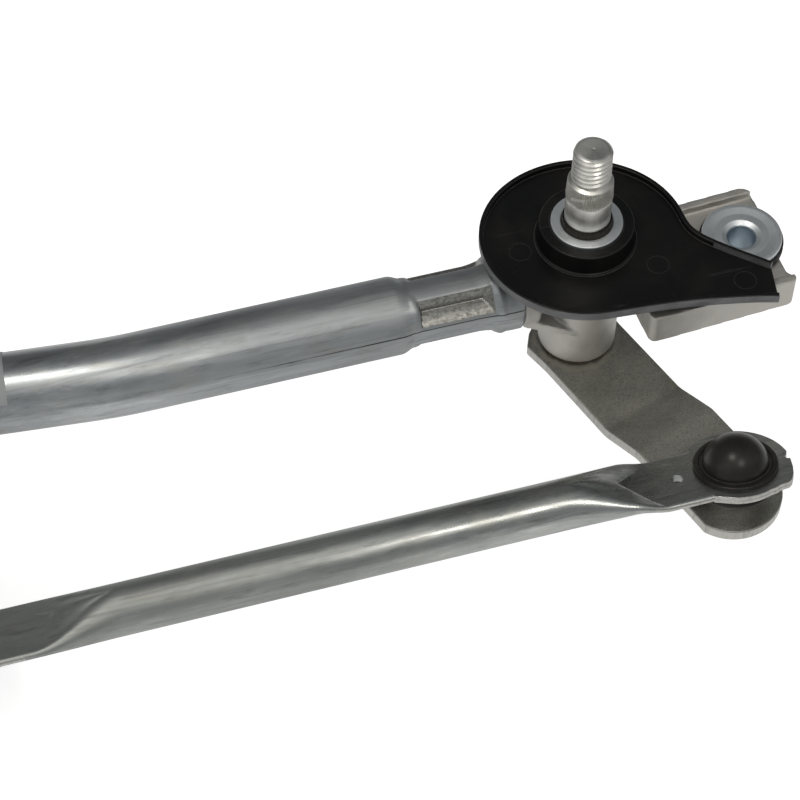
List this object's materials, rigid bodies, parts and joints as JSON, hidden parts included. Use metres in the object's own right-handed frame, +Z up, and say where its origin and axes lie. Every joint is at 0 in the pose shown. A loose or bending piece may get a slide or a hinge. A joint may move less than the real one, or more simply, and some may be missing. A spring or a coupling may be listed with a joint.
{
  "type": "windshield wiper assembly",
  "caption": "Wiper linkage: a bent frame tube joins pivot housings with knurled arm shafts; a reversing motor swings cranks and drive links with ball sockets.",
  "frame": {"origin": "centre of the tip face of the right pivot shaft", "axes": "+X along the straight right end of the frame tube, from the left pivot towards the right one; +Y towards the rear, away from the drive links; +Z up along the pivot shafts"},
  "size_m": [0.5723, 0.1441, 0.1408],
  "materials": {
    "galvanised_steel": "drawn steel tube, zinc plated, satin with long streaks",
    "die_cast": "die-cast aluminium, matt, slightly warm grey",
    "machined_steel": "turned bare steel, oiled",
    "pressed_steel": "pressed steel plate with a dull phosphate grey surface and brighter sheared edges",
    "zinc_plated": "zinc plated, fine satin",
    "bronze": "sintered bronze, oil soaked",
    "black_plastic": "black moulded plastic, smooth satin",
    "rubber": "black rubber, dull",
    "greased_washer": "brown nylon thrust washer, greasy",
    "blank_label": "silver film, blank",
    "painted_can": "black e-coat, satin",
    "ferrite": "sintered ferrite, dark grey",
    "gear_plastic": "natural white acetal",
    "armature": "varnished steel laminations"
  },
  "bodies": {
    "frame": {"right_pivot_housing": "die_cast", "right_upper_bush": "bronze", "right_lower_bush": "bronze", "right_pivot_cover": "black_plastic", "right_grommet": "rubber", "right_mount_sleeve": "zinc_plated", "right_retaining_washer": "zinc_plated", "right_seal_ring": "rubber", "right_thrust_washer": "greased_washer", "left_pivot_housing": "die_cast", "left_upper_bush": "bronze", "left_lower_bush": "bronze", "left_pivot_cover": "black_plastic", "left_grommet": "rubber", "left_mount_sleeve": "zinc_plated", "left_retaining_washer": "zinc_plated", "left_seal_ring": "rubber", "left_thrust_washer": "greased_washer", "frame_tube": "galvanised_steel", "blank_label": "blank_label", "motor_plate": "pressed_steel", "motor_grommet": "rubber", "motor_mount_sleeve": "zinc_plated", "gear_housing": "die_cast", "gear_cover": "black_plastic", "output_bush": "bronze", "motor_yoke": "painted_can", "magnet_a": "ferrite", "magnet_b": "ferrite", "brush_holder": "gear_plastic", "motor_connector": "black_plastic", "motor_screw_1": "zinc_plated", "motor_screw_2": "zinc_plated", "motor_screw_3": "zinc_plated"},
    "motor_crank": {"output_gear": "gear_plastic", "output_shaft": "machined_steel", "motor_crank": "pressed_steel", "crank_nut": "zinc_plated", "double_ball_stud": "machined_steel"},
    "armature": {"armature": "armature"},
    "right_pivot": {"right_pivot_shaft": "machined_steel", "right_crank_arm": "pressed_steel", "right_ball_stud": "machined_steel"},
    "left_pivot": {"left_pivot_shaft": "machined_steel", "left_crank_arm": "pressed_steel", "left_ball_stud": "machined_steel"},
    "right_link": {"right_link_rod": "galvanised_steel", "right_link_motor_end_socket": "black_plastic", "right_link_pivot_end_socket": "black_plastic"},
    "left_link": {"left_link_rod": "galvanised_steel", "left_link_motor_end_socket": "black_plastic", "left_link_pivot_end_socket": "black_plastic"}
  },
  "joints": [
    {"name": "motor_crank_turn", "type": "hinge", "parent": "frame", "child": "motor_crank", "pos_m": [-0.2015, 0, -0.07125], "axis": [0, 0, 1], "range_deg": [-60, 28]},
    {"name": "right_pivot_turn", "type": "hinge", "parent": "frame", "child": "right_pivot", "pos_m": [0, 0, -0.05125], "axis": [0, 0, 1], "range_deg": [-60, 28]},
    {"name": "left_pivot_turn", "type": "hinge", "parent": "frame", "child": "left_pivot", "pos_m": [-0.47, 0.03361, -0.05125], "axis": [0, 0, 1], "range_deg": [-60, 28]},
    {"name": "right_link_turn", "type": "hinge", "parent": "right_pivot", "child": "right_link", "pos_m": [0.02058, -0.05976, -0.05785], "axis": [0, 0, 1], "range_deg": [-28, 60]},
    {"name": "left_link_turn", "type": "hinge", "parent": "left_pivot", "child": "left_link", "pos_m": [-0.44942, -0.02615, -0.08175], "axis": [0, 0, 1], "range_deg": [-28, 60]},
    {"name": "armature_spin", "type": "hinge", "parent": "frame", "child": "armature", "pos_m": [-0.2415, 0.031, -0.11825], "axis": [1, 0, 0], "range_deg": [-1450, 680]}
  ],
  "couplings": [
    {"joint": "right_pivot_turn", "follows": "motor_crank_turn", "ratio": 1},
    {"joint": "left_pivot_turn", "follows": "motor_crank_turn", "ratio": 1},
    {"joint": "right_link_turn", "follows": "motor_crank_turn", "ratio": -1},
    {"joint": "left_link_turn", "follows": "motor_crank_turn", "ratio": -1},
    {"joint": "armature_spin", "follows": "motor_crank_turn", "ratio": 24}
  ]
}
